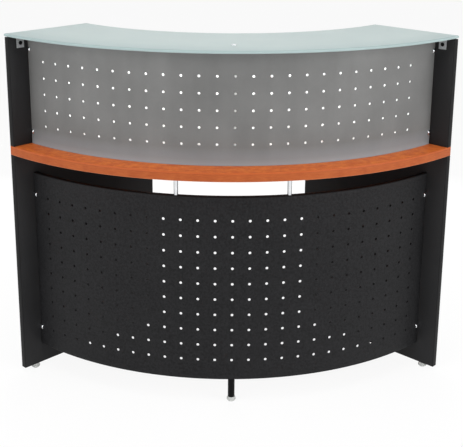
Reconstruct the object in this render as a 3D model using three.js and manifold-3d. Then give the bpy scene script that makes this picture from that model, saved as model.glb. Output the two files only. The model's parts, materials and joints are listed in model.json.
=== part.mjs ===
// Curved reception desk: a quarter ring in plan, with its convex side to the visitor.
// Millimetres, +Z up, the visitor on the -Y side, the origin on the floor at the middle of the desk's box.
// Places in plan are polar about the arc's axis: a radius, and an angle from the middle of the desk.
// At each end a frame is turned about that axis, so that -Y runs outwards along the end face.
import * as THREE from 'three';
import { mergeVertices } from 'three/addons/utils/BufferGeometryUtils.js';
import Module from 'manifold-3d';

const wasm = await Module();
wasm.setup();

// Overall plan and heights
const END_ANGLE = THREE.MathUtils.degToRad(45); // middle of the desk to the outer face of a side panel
const SCREEN_RADIUS = 900; // outer face of both screens
const SCREEN_SETBACK = 66; // front edge of the worktop, panels and posts to the screens
const WORKTOP_DEPTH = 586;
const WORKTOP_REAR_OVERHANG = 20; // behind the side panels
const POST_TAIL = 20; // how far the posts run on behind the screens' outer face
const GLASS_DEPTH = 313;
const WORKTOP_HEIGHT = 767; // floor to the worktop's upper face
const GLASS_HEIGHT = 1115; // floor to the glass's upper face

// Boards and glass
const BOARD_THICKNESS = 19;
const WORKTOP_THICKNESS = 28;
const BAND_THICKNESS = 2;
const GLASS_THICKNESS = 8;
const GLASS_OVERHANG = 4; // past the end faces

// Screens: curved sheets with a grid of round holes
const SHEET_THICKNESS = 2;
const SHEET_EDGE_GAP = 3; // upright edge to the board beside it
const COLUMN_PITCH = 51.8; // along the arc
const ROW_PITCH = 50;
const LOWER_SCREEN_DROP = 66; // worktop's underside to the lower screen
const LOWER_SCREEN_LIFT = 82; // floor to the lower screen
const UPPER_SCREEN_DROP = 4; // glass's underside to the upper screen
// Each grid's hole radius, its least blank margins when centred, and its shift along the arc
const LOWER_HOLES = { radius: 4.2, side: 60, shift: 0, bottom: 66, top: 70 };
const UPPER_HOLES = { radius: 3.7, side: 75, shift: -21.5, bottom: 64, top: 60 };
const RETURNS = { bottom: 36, top: 14 }; // depths of the lower screen's folded edges, from its outer face
const LINER_THICKNESS = 2;
const LINER_CLEARANCE = 2; // liner to the upper screen's studs

// Fittings
const STUD_RADIUS = 7;
const STUD_LENGTH = 16;
const STUD_CHAMFER = 1.5;
const STUD_SHANK = { radius: 3, length: 10 };
const LOWER_STUD_INSETS = { bottom: 63, top: 72 }; // studs to the screen's bottom and top edges
const UPPER_STUD_INSETS = { bottom: 39, top: 39 };
const HANGER_RADIUS = 6.5;
const HANGER_SPREAD = 338.5; // between the two hangers, along the arc of the screens' outer face
const HANGER_SETBACK = 7.5; // behind the screens' outer face
const HANGER_SHANK = { radius: 3, length: 14 };
const HANGER_SPIGOT = { radius: 3, length: 8 };
const LEG_RADIUS = 10.5;
const LEG_SETBACK = 21; // behind the screens' outer face
const LEG_SPIGOT = { radius: 4, length: 8 };
const DOWEL_RADIUS = 4;
const DOWEL_INSERTION = 30; // into the panel below and into the post above
const DOWEL_INSETS = { front: 16, rear: 48 }; // both behind the front edge
const SCREW_RADIUS = 2.2;
const SCREW_LENGTH = 14;
const SCREW_HEAD = { radius: 4.2, height: 2.6, chamfer: 1.3 };
const ANGLE = { down: 36, along: 36, width: 30, thickness: 2.5, screwInset: 14 };
const ANGLE_INSETS = { front: 186, rear: 80 }; // behind the front edge, before the panel's rear edge

// Glass supports
const GLASS_BRACKET = { down: 34, along: 26, width: 26, thickness: 3, screwInset: 15 };
const GLASS_BRACKET_CLEARANCE = 13; // before the screens' outer face
const GLASS_SCREW_HEAD = { radius: 6.2, height: 2.6, chamfer: 1.3 };
const PAD_RADIUS = 9;
const PAD_THICKNESS = 1.5;
const MIDDLE_POST_SETBACK = 32; // behind the screens' outer face
const MIDDLE_POST_RADIUS = 11;
const MIDDLE_POST_FLANGE = { radius: 25, thickness: 5 };
const MIDDLE_POST_HEAD = { radius: 20, thickness: 4 };
const MIDDLE_POST_SPIGOT = { radius: 4, length: 15 };
const CAP = { radius: 8, height: 3, chamfer: 1.5 };
const CAP_SHANK = { radius: 4, length: 30 };

// Levelling glides
const FOOT_HEIGHT = 15;
// Radii and heights up a foot's rounded side
const FOOT_SIDE = [[8, 0], [11.5, 2], [13.7, 6], [14.5, 11], [14.5, FOOT_HEIGHT]];
const FOOT_SOCKET_DEPTH = 8;
const STEM_RADIUS = 4;
const STEM_LENGTH = 30; // above the foot
const INSERT_WALL = 2;
const INSERT_LENGTH = 20;
const GLIDE_INSETS = { front: 46, rear: 40 }; // behind the front edge, before the panel's rear edge

// Fits
const SEAT_GAP = 0.3; // between a piece and what carries it
const BORE_GAP = 0.3; // around a pin in its bore
const SLOT_GAP = 0.7; // on each side of a screen's edge in a slot
const BORE_END = 1; // from a pin's tip to the bottom of its bore
const OVERRUN = 1; // how far a cutting solid passes the face it enters by

// Facets
const ARC_SEGMENTS = 14; // an arc gets two facets for each of these
const PIN_SIDES = 12;
const ROUND_SIDES = 16;
const SCREW_SIDES = 8;
const HOLE_SIDES = 6;
const LEAST_FACET = 10; // width of the narrowest facet of a screen

// Radii, heights and widths that follow from the sizes above
const FRONT_RADIUS = SCREEN_RADIUS + SCREEN_SETBACK;
const REAR_RADIUS = FRONT_RADIUS - WORKTOP_DEPTH;
const PANEL_REAR_RADIUS = REAR_RADIUS + WORKTOP_REAR_OVERHANG;
const POST_REAR_RADIUS = SCREEN_RADIUS - POST_TAIL;
const SHEET_RADIUS = SCREEN_RADIUS - SHEET_THICKNESS / 2; // middle of the sheets
const STUD_RADIUS_AT = Math.sqrt(SHEET_RADIUS ** 2 - (BOARD_THICKNESS + STUD_LENGTH / 2) ** 2);
const DOWEL_RADII = {
  front: FRONT_RADIUS - DOWEL_INSETS.front,
  rear: FRONT_RADIUS - DOWEL_INSETS.rear,
};
const ANGLE_RADII = {
  front: FRONT_RADIUS - ANGLE_INSETS.front,
  rear: PANEL_REAR_RADIUS + ANGLE_INSETS.rear,
};
const GLIDE_RADII = {
  front: FRONT_RADIUS - GLIDE_INSETS.front,
  rear: PANEL_REAR_RADIUS + GLIDE_INSETS.rear,
};
const GLASS_BRACKET_AT = SCREEN_RADIUS + GLASS_BRACKET_CLEARANCE + GLASS_BRACKET.width / 2;
const MIDDLE_POST_AT = SCREEN_RADIUS - MIDDLE_POST_SETBACK;
const HANGER_AT = SCREEN_RADIUS - HANGER_SETBACK;
const LEG_AT = SCREEN_RADIUS - LEG_SETBACK;
const LINER_RADIUS = SCREEN_RADIUS - SHEET_THICKNESS - SEAT_GAP; // outer face of the liner
const WORKTOP_UNDERSIDE = WORKTOP_HEIGHT - WORKTOP_THICKNESS;
const UNDER_WORKTOP = WORKTOP_UNDERSIDE - SEAT_GAP; // panels, brackets and hangers end here
const ON_WORKTOP = WORKTOP_HEIGHT + SEAT_GAP; // posts and the upper screen stand here
const GLASS_UNDERSIDE = GLASS_HEIGHT - GLASS_THICKNESS;
const PAD_TOP = GLASS_UNDERSIDE - SEAT_GAP;
const PAD_BOTTOM = PAD_TOP - PAD_THICKNESS;
const SUPPORT_TOP = PAD_BOTTOM - SEAT_GAP; // posts, brackets and the middle post end here
const PANEL_BOTTOM = FOOT_HEIGHT + SEAT_GAP;
const STEM_BORE_RADIUS = STEM_RADIUS + BORE_GAP;
const INSERT_RADIUS = STEM_BORE_RADIUS + INSERT_WALL;
const STEM_TOP = FOOT_HEIGHT + STEM_LENGTH;
const SLOT_HALF_WIDTH = SHEET_THICKNESS / 2 + SLOT_GAP;
const SHEET_HALF_ANGLE = END_ANGLE - (BOARD_THICKNESS + SHEET_EDGE_GAP) / SCREEN_RADIUS;
const HANGER_ANGLE = HANGER_SPREAD / 2 / SCREEN_RADIUS;
const LOWER_SCREEN = { bottom: LOWER_SCREEN_LIFT, top: WORKTOP_UNDERSIDE - LOWER_SCREEN_DROP };
const UPPER_SCREEN = { bottom: ON_WORKTOP, top: GLASS_UNDERSIDE - UPPER_SCREEN_DROP };
const BOARD_MIDDLE = BOARD_THICKNESS / 2;
const BOARD_FACE = BOARD_THICKNESS + SEAT_GAP; // where fittings sit on a board's inner face
const ANGLE_SCREW_IN = BOARD_FACE + ANGLE.along - ANGLE.screwInset; // end face to the worktop screw
const GLASS_PAD_IN = BOARD_FACE + GLASS_BRACKET.along - GLASS_BRACKET.screwInset;
const AXIS_Y = (FRONT_RADIUS + REAR_RADIUS * Math.cos(END_ANGLE)) / 2;

const FINISHES = {
  blackBoard: { color: 0x2a2a2b, roughness: 0.55, metalness: 0 },
  cherryBoard: { color: 0xc46437, roughness: 0.42, metalness: 0 },
  cherryBand: { color: 0xb2562f, roughness: 0.4, metalness: 0 },
  blackSheet: { color: 0x2d2d2e, roughness: 0.6, metalness: 0.2 },
  silverSheet: { color: 0x8c8c8b, roughness: 0.38, metalness: 0.7 },
  chrome: { color: 0xd9dbde, roughness: 0.12, metalness: 1 },
  zinc: { color: 0xb4b7ba, roughness: 0.35, metalness: 1 },
  blackSteel: { color: 0x1d1d1e, roughness: 0.5, metalness: 0.4 },
  frostedGlass: { color: 0xd3dedc, roughness: 0.55, metalness: 0, transparent: true, opacity: 0.85 },
  clearRubber: { color: 0xdfe3e2, roughness: 0.6, metalness: 0 },
  greyPlastic: { color: 0xcfd0cd, roughness: 0.5, metalness: 0 },
  opalSheet: { color: 0xf3f4f3, roughness: 0.5, metalness: 0 },
  beech: { color: 0xcfae7d, roughness: 0.7, metalness: 0 },
};

// A closed geometry as a solid
function toSolid(geometry) {
  const bare = geometry.clone();
  bare.deleteAttribute('normal');
  bare.deleteAttribute('uv');
  const merged = mergeVertices(bare);
  return new wasm.Manifold(
    new wasm.Mesh({
      numProp: 3,
      vertProperties: merged.attributes.position.array,
      triVerts: new Uint32Array(merged.index.array),
    }),
  );
}

// A geometry with cutting solids taken out of it
function cut(geometry, cutters) {
  const solid = cutters.reduce((left, cutter) => left.subtract(toSolid(cutter)), toSolid(geometry));
  const mesh = solid.getMesh();
  const result = new THREE.BufferGeometry();
  result.setAttribute('position', new THREE.BufferAttribute(mesh.vertProperties, 3));
  result.setIndex(new THREE.BufferAttribute(mesh.triVerts, 1));
  result.computeVertexNormals();
  return result;
}

// A box between two corners
function box(low, high) {
  const size = high.map((value, i) => value - low[i]);
  const middle = high.map((value, i) => (value + low[i]) / 2);
  return new THREE.BoxGeometry(...size).translate(...middle);
}

// A cylinder along Z between two heights
function cylinder(radius, from, to, sides = PIN_SIDES) {
  const bar = new THREE.CylinderGeometry(radius, radius, to - from, sides);
  return bar.rotateX(Math.PI / 2).translate(0, 0, (from + to) / 2);
}

// A turned piece about Z. Its outline of [radius, height] points runs up the outside, from axis to axis.
function turned(outline, sides = PIN_SIDES) {
  const points = outline.map(([radius, height]) => new THREE.Vector2(radius, height));
  return new THREE.LatheGeometry(points, sides).rotateX(Math.PI / 2);
}

// A ring sector about the arc's axis, from the floor up
function sector(innerRadius, outerRadius, halfAngle, thickness) {
  const start = -Math.PI / 2 - halfAngle;
  const end = -Math.PI / 2 + halfAngle;
  const plan = new THREE.Shape();
  plan.absarc(0, 0, outerRadius, start, end, false);
  plan.absarc(0, 0, innerRadius, end, start, true);
  plan.closePath();
  return new THREE.ExtrudeGeometry(plan, {
    depth: thickness,
    bevelEnabled: false,
    curveSegments: ARC_SEGMENTS,
  });
}

// A bracket with its corner at the origin, one leaf down an upright face and one along +X under a flat one.
// Each leaf has a screw hole.
function angleBracket({ down, along, width, thickness, screwInset }) {
  const profile = new THREE.Shape();
  profile.moveTo(0, 0);
  profile.lineTo(0, -down);
  profile.lineTo(thickness, -down);
  profile.lineTo(thickness, -thickness);
  profile.lineTo(along, -thickness);
  profile.lineTo(along, 0);
  profile.closePath();
  const plain = new THREE.ExtrudeGeometry(profile, { depth: width, bevelEnabled: false });
  plain.rotateX(Math.PI / 2).translate(0, width / 2, 0);
  const hole = () => cylinder(SCREW_RADIUS + BORE_GAP, -thickness - OVERRUN, thickness + OVERRUN);
  return cut(plain, [
    hole().rotateY(Math.PI / 2).translate(0, 0, -down + screwInset),
    hole().translate(along - screwInset, 0, 0),
  ]);
}

// A screw with its shank down -Z and its head above
function screw(head) {
  const outline = [
    [0, -SCREW_LENGTH],
    [SCREW_RADIUS, -SCREW_LENGTH],
    [SCREW_RADIUS, 0],
    [head.radius, 0],
    [head.radius, head.height - head.chamfer],
    [head.radius - head.chamfer, head.height],
    [0, head.height],
  ];
  return turned(outline, SCREW_SIDES);
}

// A bore up into a face from below, for a pin of the given radius and length
function boreUp(pinRadius, mouth, pinLength) {
  return cylinder(pinRadius + BORE_GAP, mouth - OVERRUN, mouth + pinLength + BORE_END);
}

// A bore down into a face from above
function boreDown(pinRadius, mouth, pinLength) {
  return cylinder(pinRadius + BORE_GAP, mouth - pinLength - BORE_END, mouth + OVERRUN);
}

// The angles of a screen's hole columns, and of the folds between them, which run on to its upright edges
function columnAngles(holes) {
  const pitch = COLUMN_PITCH / SCREEN_RADIUS;
  const field = 2 * (SHEET_HALF_ANGLE - holes.side / SCREEN_RADIUS);
  const gaps = Math.floor(field / pitch);
  const first = holes.shift / SCREEN_RADIUS - (gaps * pitch) / 2;
  const columns = Array.from({ length: gaps + 1 }, (_, i) => first + i * pitch);
  const limit = SHEET_HALF_ANGLE - LEAST_FACET / SCREEN_RADIUS;
  const before = Math.floor((first - pitch / 2 + limit) / pitch);
  const folds = [-SHEET_HALF_ANGLE];
  for (let angle = first - (before + 1 / 2) * pitch; angle < limit; angle += pitch) {
    folds.push(angle);
  }
  folds.push(SHEET_HALF_ANGLE);
  return { columns, folds };
}

// The profile of a plain sheet, as [radius, height] corners
function plainProfile(outerRadius, thickness, { bottom, top }) {
  const innerRadius = outerRadius - thickness;
  return [
    [innerRadius, bottom],
    [outerRadius, bottom],
    [outerRadius, top],
    [innerRadius, top],
  ];
}

// The profile of the lower screen, whose bottom and top edges are folded back
function returnedProfile({ bottom, top }) {
  const innerRadius = SCREEN_RADIUS - SHEET_THICKNESS;
  const bottomTail = SCREEN_RADIUS - RETURNS.bottom;
  const topTail = SCREEN_RADIUS - RETURNS.top;
  return [
    [bottomTail, bottom],
    [SCREEN_RADIUS, bottom],
    [SCREEN_RADIUS, top],
    [topTail, top],
    [topTail, top - SHEET_THICKNESS],
    [innerRadius, top - SHEET_THICKNESS],
    [innerRadius, bottom + SHEET_THICKNESS],
    [bottomTail, bottom + SHEET_THICKNESS],
  ];
}

// A sheet that follows the arc in flat facets between folds. Its profile runs anticlockwise, seen with
// the radius to the right.
function facetedSheet(profile, folds) {
  const corners = profile.length;
  const places = folds.flatMap((angle) =>
    profile.flatMap(([radius, height]) => [radius * Math.sin(angle), -radius * Math.cos(angle), height]),
  );
  const triangles = [];
  for (let start = 0; start < (folds.length - 1) * corners; start += corners) {
    for (let corner = 0; corner < corners; corner += 1) {
      const here = start + corner;
      const next = start + ((corner + 1) % corners);
      triangles.push(here, here + corners, next + corners, here, next + corners, next);
    }
  }
  const end = (folds.length - 1) * corners;
  const contour = profile.map((corner) => new THREE.Vector2(...corner));
  for (const [a, b, c] of THREE.ShapeUtils.triangulateShape(contour, [])) {
    triangles.push(a, b, c, end + a, end + c, end + b);
  }
  const sheet = new THREE.BufferGeometry();
  sheet.setAttribute('position', new THREE.Float32BufferAttribute(places, 3));
  sheet.setIndex(triangles);
  sheet.computeVertexNormals();
  return sheet;
}

// A screen with its grid of holes, each column of them on one flat facet, and any other bores
function perforatedScreen(profile, { bottom, top }, holes, bores = []) {
  const { columns, folds } = columnAngles(holes);
  const rows = Math.floor((top - bottom - holes.bottom - holes.top) / ROW_PITCH) + 1;
  const reach = SHEET_THICKNESS / 2 + OVERRUN;
  const drills = columns.flatMap((angle) =>
    Array.from({ length: rows }, (_, row) => {
      const height = bottom + holes.bottom + row * ROW_PITCH;
      const drill = cylinder(holes.radius, -reach, reach, HOLE_SIDES).rotateX(Math.PI / 2);
      return drill.translate(0, -SHEET_RADIUS, height).rotateZ(angle);
    }),
  );
  return cut(facetedSheet(profile, folds), [...drills, ...bores]);
}

const desk = new THREE.Group();
const arc = new THREE.Group();
arc.position.y = AXIS_Y;
desk.add(arc);

// A named piece in a frame, at a place in it
function piece(frame, name, geometry, finish, place = [0, 0, 0], turn = [0, 0, 0]) {
  const mesh = new THREE.Mesh(geometry, new THREE.MeshStandardMaterial(finish));
  mesh.name = name;
  mesh.position.set(...place);
  mesh.rotation.set(...turn);
  frame.add(mesh);
}

// A frame turned about the arc's axis
function turnedFrame(angle) {
  const frame = new THREE.Group();
  frame.rotation.z = angle;
  arc.add(frame);
  return frame;
}

// The two ends. Side is -1 on the left and 1 on the right, so the desk lies towards -side from an end face.
const ENDS = [
  { label: 'left', side: -1, frame: turnedFrame(-END_ANGLE) },
  { label: 'right', side: 1, frame: turnedFrame(END_ANGLE) },
];

// Heights of the studs that hold a screen's upright edges
function studHeights(screen, insets) {
  return { bottom: screen.bottom + insets.bottom, top: screen.top - insets.top };
}
const LOWER_STUDS = studHeights(LOWER_SCREEN, LOWER_STUD_INSETS);
const UPPER_STUDS = studHeights(UPPER_SCREEN, UPPER_STUD_INSETS);

// How far below a bracket's corner its screw into the board lies
function bracketScrewDrop({ down, screwInset }) {
  return down - screwInset;
}

// A bore into a board's inner face, at a radius and a height in an end frame
function faceBore(side, pinRadius, pinLength, radius, height) {
  return boreUp(pinRadius, 0, pinLength)
    .rotateY((side * Math.PI) / 2)
    .translate(-side * BOARD_THICKNESS, -radius, height);
}

// The bore for a bracket's screw, whose head is held off the board by the bracket
function bracketBore(side, bracket, radius, corner) {
  const length = SCREW_LENGTH - bracket.thickness;
  return faceBore(side, SCREW_RADIUS, length, radius, corner - bracketScrewDrop(bracket));
}

// An upright board in an end frame, its outer face on the end plane
function uprightBoard(side, rearRadius, bottom, top) {
  const across = [0, -side * BOARD_THICKNESS];
  return box(
    [Math.min(...across), -FRONT_RADIUS, bottom],
    [Math.max(...across), -rearRadius, top],
  );
}

function addSidePanel({ label, side, frame }) {
  const bores = [];
  for (const height of Object.values(LOWER_STUDS)) {
    bores.push(faceBore(side, STUD_SHANK.radius, STUD_SHANK.length, STUD_RADIUS_AT, height));
  }
  for (const radius of Object.values(ANGLE_RADII)) {
    bores.push(bracketBore(side, ANGLE, radius, UNDER_WORKTOP));
  }
  for (const radius of Object.values(DOWEL_RADII)) {
    const bore = boreDown(DOWEL_RADIUS, UNDER_WORKTOP, DOWEL_INSERTION);
    bores.push(bore.translate(-side * BOARD_MIDDLE, -radius, 0));
  }
  for (const radius of Object.values(GLIDE_RADII)) {
    const bore = boreUp(INSERT_RADIUS, PANEL_BOTTOM, STEM_LENGTH);
    bores.push(bore.translate(-side * BOARD_MIDDLE, -radius, 0));
  }
  const panel = cut(uprightBoard(side, PANEL_REAR_RADIUS, PANEL_BOTTOM, UNDER_WORKTOP), bores);
  piece(frame, `${label}_side_panel`, panel, FINISHES.blackBoard);
}

function addCounterPost({ label, side, frame }) {
  const bores = [bracketBore(side, GLASS_BRACKET, GLASS_BRACKET_AT, SUPPORT_TOP)];
  for (const height of Object.values(UPPER_STUDS)) {
    bores.push(faceBore(side, STUD_SHANK.radius, STUD_SHANK.length, STUD_RADIUS_AT, height));
  }
  for (const radius of Object.values(DOWEL_RADII)) {
    const bore = boreUp(DOWEL_RADIUS, ON_WORKTOP, DOWEL_INSERTION);
    bores.push(bore.translate(-side * BOARD_MIDDLE, -radius, 0));
  }
  const post = cut(uprightBoard(side, POST_REAR_RADIUS, ON_WORKTOP, SUPPORT_TOP), bores);
  piece(frame, `${label}_counter_post`, post, FINISHES.blackBoard);
}

function addDowels({ label, side, frame }) {
  const dowel = cylinder(DOWEL_RADIUS, UNDER_WORKTOP - DOWEL_INSERTION, ON_WORKTOP + DOWEL_INSERTION);
  for (const [where, radius] of Object.entries(DOWEL_RADII)) {
    const place = [-side * BOARD_MIDDLE, -radius, 0];
    piece(frame, `${label}_${where}_tie_dowel`, dowel, FINISHES.beech, place);
  }
}

// A stud stands on a board's inner face and is slotted for the screen's upright edge
function studGeometry() {
  const outline = [
    [0, -STUD_SHANK.length],
    [STUD_SHANK.radius, -STUD_SHANK.length],
    [STUD_SHANK.radius, 0],
    [STUD_RADIUS, 0],
    [STUD_RADIUS, STUD_LENGTH - STUD_CHAMFER],
    [STUD_RADIUS - STUD_CHAMFER, STUD_LENGTH],
    [0, STUD_LENGTH],
  ];
  const reach = STUD_RADIUS + OVERRUN;
  const slot = box(
    [-reach, -SLOT_HALF_WIDTH, SHEET_EDGE_GAP - OVERRUN],
    [reach, SLOT_HALF_WIDTH, STUD_LENGTH + OVERRUN],
  );
  return cut(turned(outline), [slot]);
}

function addStuds({ label, side, frame }) {
  const stud = studGeometry();
  const turn = [0, (-side * Math.PI) / 2, 0];
  for (const [screen, heights] of [['lower', LOWER_STUDS], ['upper', UPPER_STUDS]]) {
    for (const [where, height] of Object.entries(heights)) {
      const place = [-side * BOARD_FACE, -STUD_RADIUS_AT, height];
      piece(frame, `${label}_${screen}_screen_stud_${where}`, stud, FINISHES.chrome, place, turn);
    }
  }
}

// A bracket on a board's inner face, its corner at a radius and a height, and its screw into the board
function addBracket({ label, side, frame }, { name, screwName, bracket, head, radius, corner, screwFinish }) {
  const place = [-side * BOARD_FACE, -radius, corner];
  const turn = [0, 0, side > 0 ? Math.PI : 0];
  piece(frame, `${label}_${name}`, angleBracket(bracket), FINISHES.zinc, place, turn);
  const screwFace = BOARD_FACE + bracket.thickness + SEAT_GAP;
  const screwPlace = [-side * screwFace, -radius, corner - bracketScrewDrop(bracket)];
  const screwTurn = [0, (-side * Math.PI) / 2, 0];
  piece(frame, `${label}_${screwName}`, screw(head), screwFinish, screwPlace, screwTurn);
}

function addAngleBrackets(end) {
  const { label, side, frame } = end;
  for (const [where, radius] of Object.entries(ANGLE_RADII)) {
    addBracket(end, {
      name: `${where}_angle_bracket`,
      screwName: `${where}_angle_panel_screw`,
      bracket: ANGLE,
      head: SCREW_HEAD,
      radius,
      corner: UNDER_WORKTOP,
      screwFinish: FINISHES.zinc,
    });
    const name = `${label}_${where}_angle_worktop_screw`;
    const place = [-side * ANGLE_SCREW_IN, -radius, UNDER_WORKTOP - ANGLE.thickness - SEAT_GAP];
    piece(frame, name, screw(SCREW_HEAD), FINISHES.zinc, place, [Math.PI, 0, 0]);
  }
}

function addGlassBracket(end) {
  const { label, side, frame } = end;
  addBracket(end, {
    name: 'glass_bracket',
    screwName: 'glass_bracket_screw',
    bracket: GLASS_BRACKET,
    head: GLASS_SCREW_HEAD,
    radius: GLASS_BRACKET_AT,
    corner: SUPPORT_TOP,
    screwFinish: FINISHES.blackSteel,
  });
  const pad = cylinder(PAD_RADIUS, PAD_BOTTOM, PAD_TOP);
  const place = [-side * GLASS_PAD_IN, -GLASS_BRACKET_AT, 0];
  piece(frame, `${label}_glass_pad`, pad, FINISHES.clearRubber, place);
}

// A glide's foot and stem, which move together, about a plan place in a frame
function addGlide(frame, label, place) {
  const socketBottom = FOOT_HEIGHT - FOOT_SOCKET_DEPTH;
  const outline = [
    [0, 0],
    ...FOOT_SIDE,
    [STEM_BORE_RADIUS, FOOT_HEIGHT],
    [STEM_BORE_RADIUS, socketBottom],
    [0, socketBottom],
  ];
  const stem = cylinder(STEM_RADIUS, socketBottom + SEAT_GAP, STEM_TOP, ROUND_SIDES);
  piece(frame, `${label}_glide_foot`, turned(outline, ROUND_SIDES), FINISHES.greyPlastic, place);
  piece(frame, `${label}_glide_stem`, stem, FINISHES.zinc, place);
}

function addPanelGlides({ label, side, frame }) {
  const top = PANEL_BOTTOM + INSERT_LENGTH;
  const shell = cylinder(INSERT_RADIUS, PANEL_BOTTOM, top);
  const thread = cylinder(STEM_BORE_RADIUS, PANEL_BOTTOM - OVERRUN, top + OVERRUN, ROUND_SIDES);
  const insert = cut(shell, [thread]);
  for (const [where, radius] of Object.entries(GLIDE_RADII)) {
    const place = [-side * BOARD_MIDDLE, -radius, 0];
    piece(frame, `${label}_${where}_glide_insert`, insert, FINISHES.zinc, place);
    addGlide(frame, `${label}_${where}`, place);
  }
}

// The worktop runs under the posts and over the panels, with a band on its front edge
function addWorktop() {
  const bandRadius = FRONT_RADIUS - BAND_THICKNESS;
  const core = sector(REAR_RADIUS, bandRadius - SEAT_GAP, END_ANGLE, WORKTOP_THICKNESS);
  core.translate(0, 0, WORKTOP_UNDERSIDE);
  const bores = [];
  for (const { side } of ENDS) {
    for (const radius of Object.values(DOWEL_RADII)) {
      const bore = boreUp(DOWEL_RADIUS, WORKTOP_UNDERSIDE, WORKTOP_THICKNESS);
      bores.push(bore.translate(-side * BOARD_MIDDLE, -radius, 0).rotateZ(side * END_ANGLE));
    }
    for (const radius of Object.values(ANGLE_RADII)) {
      const bore = boreUp(SCREW_RADIUS, WORKTOP_UNDERSIDE, SCREW_LENGTH - ANGLE.thickness);
      bores.push(bore.translate(-side * ANGLE_SCREW_IN, -radius, 0).rotateZ(side * END_ANGLE));
    }
    const hanger = boreUp(HANGER_SHANK.radius, WORKTOP_UNDERSIDE, HANGER_SHANK.length);
    bores.push(hanger.translate(0, -HANGER_AT, 0).rotateZ(side * HANGER_ANGLE));
  }
  const spigot = boreDown(MIDDLE_POST_SPIGOT.radius, WORKTOP_HEIGHT, MIDDLE_POST_SPIGOT.length);
  bores.push(spigot.translate(0, -MIDDLE_POST_AT, 0));
  piece(arc, 'worktop', cut(core, bores), FINISHES.cherryBoard);

  const band = sector(bandRadius, FRONT_RADIUS, END_ANGLE, WORKTOP_THICKNESS);
  piece(arc, 'worktop_edge_band', band, FINISHES.cherryBand, [0, 0, WORKTOP_UNDERSIDE]);
}

function addGlass() {
  const halfAngle = END_ANGLE + GLASS_OVERHANG / FRONT_RADIUS;
  const pane = sector(FRONT_RADIUS - GLASS_DEPTH, FRONT_RADIUS, halfAngle, GLASS_THICKNESS);
  pane.translate(0, 0, GLASS_UNDERSIDE);
  const hole = cylinder(CAP_SHANK.radius + BORE_GAP, GLASS_UNDERSIDE - OVERRUN, GLASS_HEIGHT + OVERRUN);
  hole.translate(0, -MIDDLE_POST_AT, 0);
  piece(arc, 'glass_counter', cut(pane, [hole]), FINISHES.frostedGlass);
}

// The middle post stands on the worktop behind the upper screen, and carries the glass under a cap screw
function addMiddlePost() {
  const place = [0, -MIDDLE_POST_AT, 0];
  const boreRadius = CAP_SHANK.radius + BORE_GAP;
  const capBase = GLASS_HEIGHT + SEAT_GAP;
  const screwEnd = capBase - CAP_SHANK.length;
  const spigotEnd = ON_WORKTOP - MIDDLE_POST_SPIGOT.length;
  const flangeTop = ON_WORKTOP + MIDDLE_POST_FLANGE.thickness;
  const headBottom = SUPPORT_TOP - MIDDLE_POST_HEAD.thickness;
  const outline = [
    [0, spigotEnd],
    [MIDDLE_POST_SPIGOT.radius, spigotEnd],
    [MIDDLE_POST_SPIGOT.radius, ON_WORKTOP],
    [MIDDLE_POST_FLANGE.radius, ON_WORKTOP],
    [MIDDLE_POST_FLANGE.radius, flangeTop],
    [MIDDLE_POST_RADIUS, flangeTop],
    [MIDDLE_POST_RADIUS, headBottom],
    [MIDDLE_POST_HEAD.radius, headBottom],
    [MIDDLE_POST_HEAD.radius, SUPPORT_TOP],
    [boreRadius, SUPPORT_TOP],
    [boreRadius, screwEnd - BORE_END],
    [0, screwEnd - BORE_END],
  ];
  piece(arc, 'centre_glass_post', turned(outline, ROUND_SIDES), FINISHES.chrome, place);

  const disc = cylinder(MIDDLE_POST_HEAD.radius, PAD_BOTTOM, PAD_TOP, ROUND_SIDES);
  const pad = cut(disc, [cylinder(boreRadius, PAD_BOTTOM - OVERRUN, PAD_TOP + OVERRUN)]);
  piece(arc, 'centre_glass_pad', pad, FINISHES.clearRubber, place);

  const cap = turned([
    [0, screwEnd],
    [CAP_SHANK.radius, screwEnd],
    [CAP_SHANK.radius, capBase],
    [CAP.radius, capBase],
    [CAP.radius, capBase + CAP.height - CAP.chamfer],
    [CAP.radius - CAP.chamfer, capBase + CAP.height],
    [0, capBase + CAP.height],
  ]);
  piece(arc, 'glass_cap_screw', cap, FINISHES.chrome, place);
}

// A hanger rod is screwed up into the worktop, and its spigot goes down through the lower screen's top return
function addHanger({ label, side }) {
  const end = LOWER_SCREEN.top + SEAT_GAP;
  const shankTop = UNDER_WORKTOP + HANGER_SHANK.length;
  const spigotEnd = end - HANGER_SPIGOT.length;
  const rod = turned([
    [0, spigotEnd],
    [HANGER_SPIGOT.radius, spigotEnd],
    [HANGER_SPIGOT.radius, end],
    [HANGER_RADIUS, end],
    [HANGER_RADIUS, UNDER_WORKTOP],
    [HANGER_SHANK.radius, UNDER_WORKTOP],
    [HANGER_SHANK.radius, shankTop],
    [0, shankTop],
  ]);
  const frame = turnedFrame(side * HANGER_ANGLE);
  piece(frame, `${label}_hanger_rod`, rod, FINISHES.chrome, [0, -HANGER_AT, 0]);
}

// The centre leg's spigot goes up through the lower screen's bottom return, and its foot end is threaded
// for a glide
function addCentreLeg() {
  const top = LOWER_SCREEN.bottom - SEAT_GAP;
  const spigotTop = top + LEG_SPIGOT.length;
  const boreTop = STEM_TOP + BORE_END;
  const outline = [
    [0, boreTop],
    [STEM_BORE_RADIUS, boreTop],
    [STEM_BORE_RADIUS, PANEL_BOTTOM],
    [LEG_RADIUS, PANEL_BOTTOM],
    [LEG_RADIUS, top],
    [LEG_SPIGOT.radius, top],
    [LEG_SPIGOT.radius, spigotTop],
    [0, spigotTop],
  ];
  const place = [0, -LEG_AT, 0];
  piece(arc, 'centre_leg', turned(outline, ROUND_SIDES), FINISHES.blackSteel, place);
  addGlide(arc, 'centre', place);
}

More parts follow.
